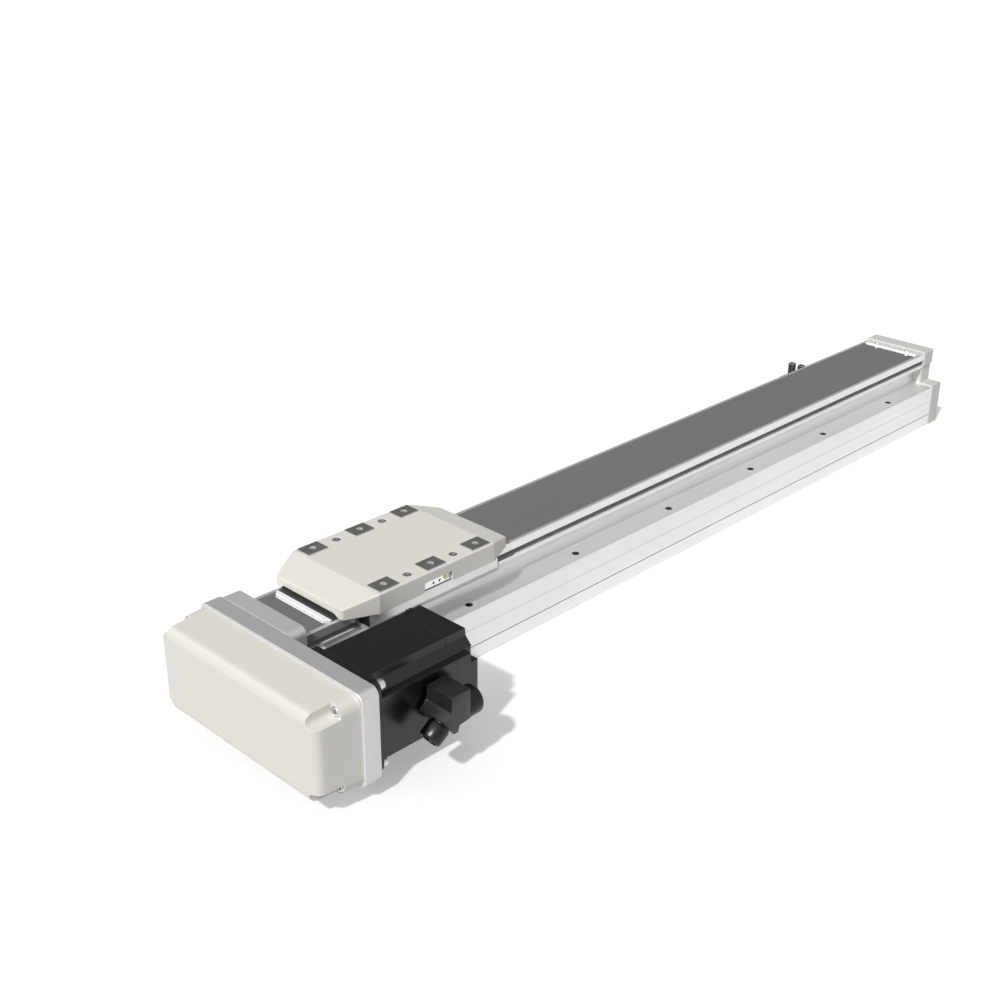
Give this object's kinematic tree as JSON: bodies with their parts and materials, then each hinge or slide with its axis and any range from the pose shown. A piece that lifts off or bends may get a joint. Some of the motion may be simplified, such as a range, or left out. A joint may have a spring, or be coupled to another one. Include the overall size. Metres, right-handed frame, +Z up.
{
  "type": "belt driven linear axis",
  "caption": "Linear axis with a covered carriage on a flanged aluminium profile, moved by a ball screw that a side motor turns through a toothed belt.",
  "frame": {"origin": "underside of the base profile, on its centre line, midway between the first pair of mounting holes", "axes": "+X along the stroke from the belt cover to the end cap, +Y away from the motor, +Z up"},
  "size_m": [1.135, 0.258, 0.1153],
  "materials": {
    "profile_aluminium": "matt clear anodised",
    "cover_aluminium": "matt clear anodised",
    "strip_steel": "polished",
    "clamp_steel": "satin",
    "dark_screw_steel": "black oxide",
    "bright_screw_steel": "bright zinc",
    "rail_steel": "ground",
    "housing_aluminium": "bead blasted and anodised",
    "end_cap_aluminium": "bead blasted and anodised",
    "ground_steel": "ground",
    "black_rubber": "matt",
    "plate_aluminium": "milled and anodised",
    "cover_plastic": "fine grain",
    "motor_paint": "black paint",
    "encoder_plastic": "matt black",
    "connector_plastic": "matt black",
    "connector_metal": "dark nickel",
    "bracket_aluminium": "black anodised",
    "sensor_plastic": "matt black",
    "pulley_aluminium": "hard anodised",
    "carriage_aluminium": "milled",
    "pad_steel": "phosphated",
    "shell_plastic": "fine grain",
    "wiper_plastic": "smooth",
    "nipple_brass": "bright"
  },
  "bodies": {
    "base": {"base_profile": "profile_aluminium", "top_cover": "cover_aluminium", "cover_strip": "strip_steel", "strip_clamp": "clamp_steel", "strip_clamp_screws": "dark_screw_steel", "housing_screws": "dark_screw_steel", "end_cap_screws": "dark_screw_steel", "drive_plate_screws": "dark_screw_steel", "sensor_screws": "dark_screw_steel", "belt_cover_screws": "bright_screw_steel", "motor_screws": "bright_screw_steel", "guide_rail_left": "rail_steel", "guide_rail_right": "rail_steel", "bearing_housing": "housing_aluminium", "end_cap": "end_cap_aluminium", "fixed_bearing": "ground_steel", "far_bearing": "ground_steel", "drive_end_buffers": "black_rubber", "far_end_buffers": "black_rubber", "toothed_belt": "black_rubber", "drive_plate": "plate_aluminium", "belt_cover": "cover_plastic", "motor_flange": "motor_paint", "motor_housing": "motor_paint", "encoder_cap": "encoder_plastic", "connector_block": "connector_plastic", "power_connector": "connector_metal", "signal_connector": "connector_metal", "sensor_bracket": "bracket_aluminium", "home_sensor": "sensor_plastic", "limit_sensor": "sensor_plastic"},
    "carriage": {"carriage_core": "carriage_aluminium", "ball_nut": "ground_steel", "ball_nut_screws": "dark_screw_steel", "carriage_bridge": "carriage_aluminium", "grease_nipples": "nipple_brass", "mounting_pad_1": "pad_steel", "mounting_pad_2": "pad_steel", "mounting_pad_3": "pad_steel", "mounting_pad_4": "pad_steel", "mounting_pad_5": "pad_steel", "mounting_pad_6": "pad_steel", "carriage_shell": "shell_plastic", "shell_screws": "dark_screw_steel", "drive_end_wiper": "wiper_plastic", "far_end_wiper": "wiper_plastic", "runner_block_1": "rail_steel", "runner_block_2": "rail_steel", "runner_block_3": "rail_steel", "runner_block_4": "rail_steel"},
    "screw": {"ball_screw": "ground_steel", "lock_nut": "ground_steel", "screw_pulley": "pulley_aluminium", "screw_pulley_bolt": "dark_screw_steel"},
    "rotor": {"motor_shaft": "ground_steel", "motor_pulley": "pulley_aluminium", "motor_pulley_bolt": "dark_screw_steel"}
  },
  "joints": [
    {"name": "carriage_slide", "type": "slide", "parent": "base", "child": "carriage", "axis": [1, 0, 0], "range_m": [-0.025, 0.76]},
    {"name": "screw_spin", "type": "hinge", "parent": "base", "child": "screw", "pos_m": [0, 0, 0.0615], "axis": [1, 0, 0], "range_deg": [-900, 27360]},
    {"name": "motor_spin", "type": "hinge", "parent": "base", "child": "rotor", "pos_m": [0, -0.1125, 0.0615], "axis": [1, 0, 0], "range_deg": [-900, 27360], "deforming": ["toothed_belt"]}
  ],
  "couplings": [
    {"joint": "screw_spin", "follows": "carriage_slide", "rad_per_m": 628.32},
    {"joint": "motor_spin", "follows": "carriage_slide", "rad_per_m": 628.32}
  ]
}
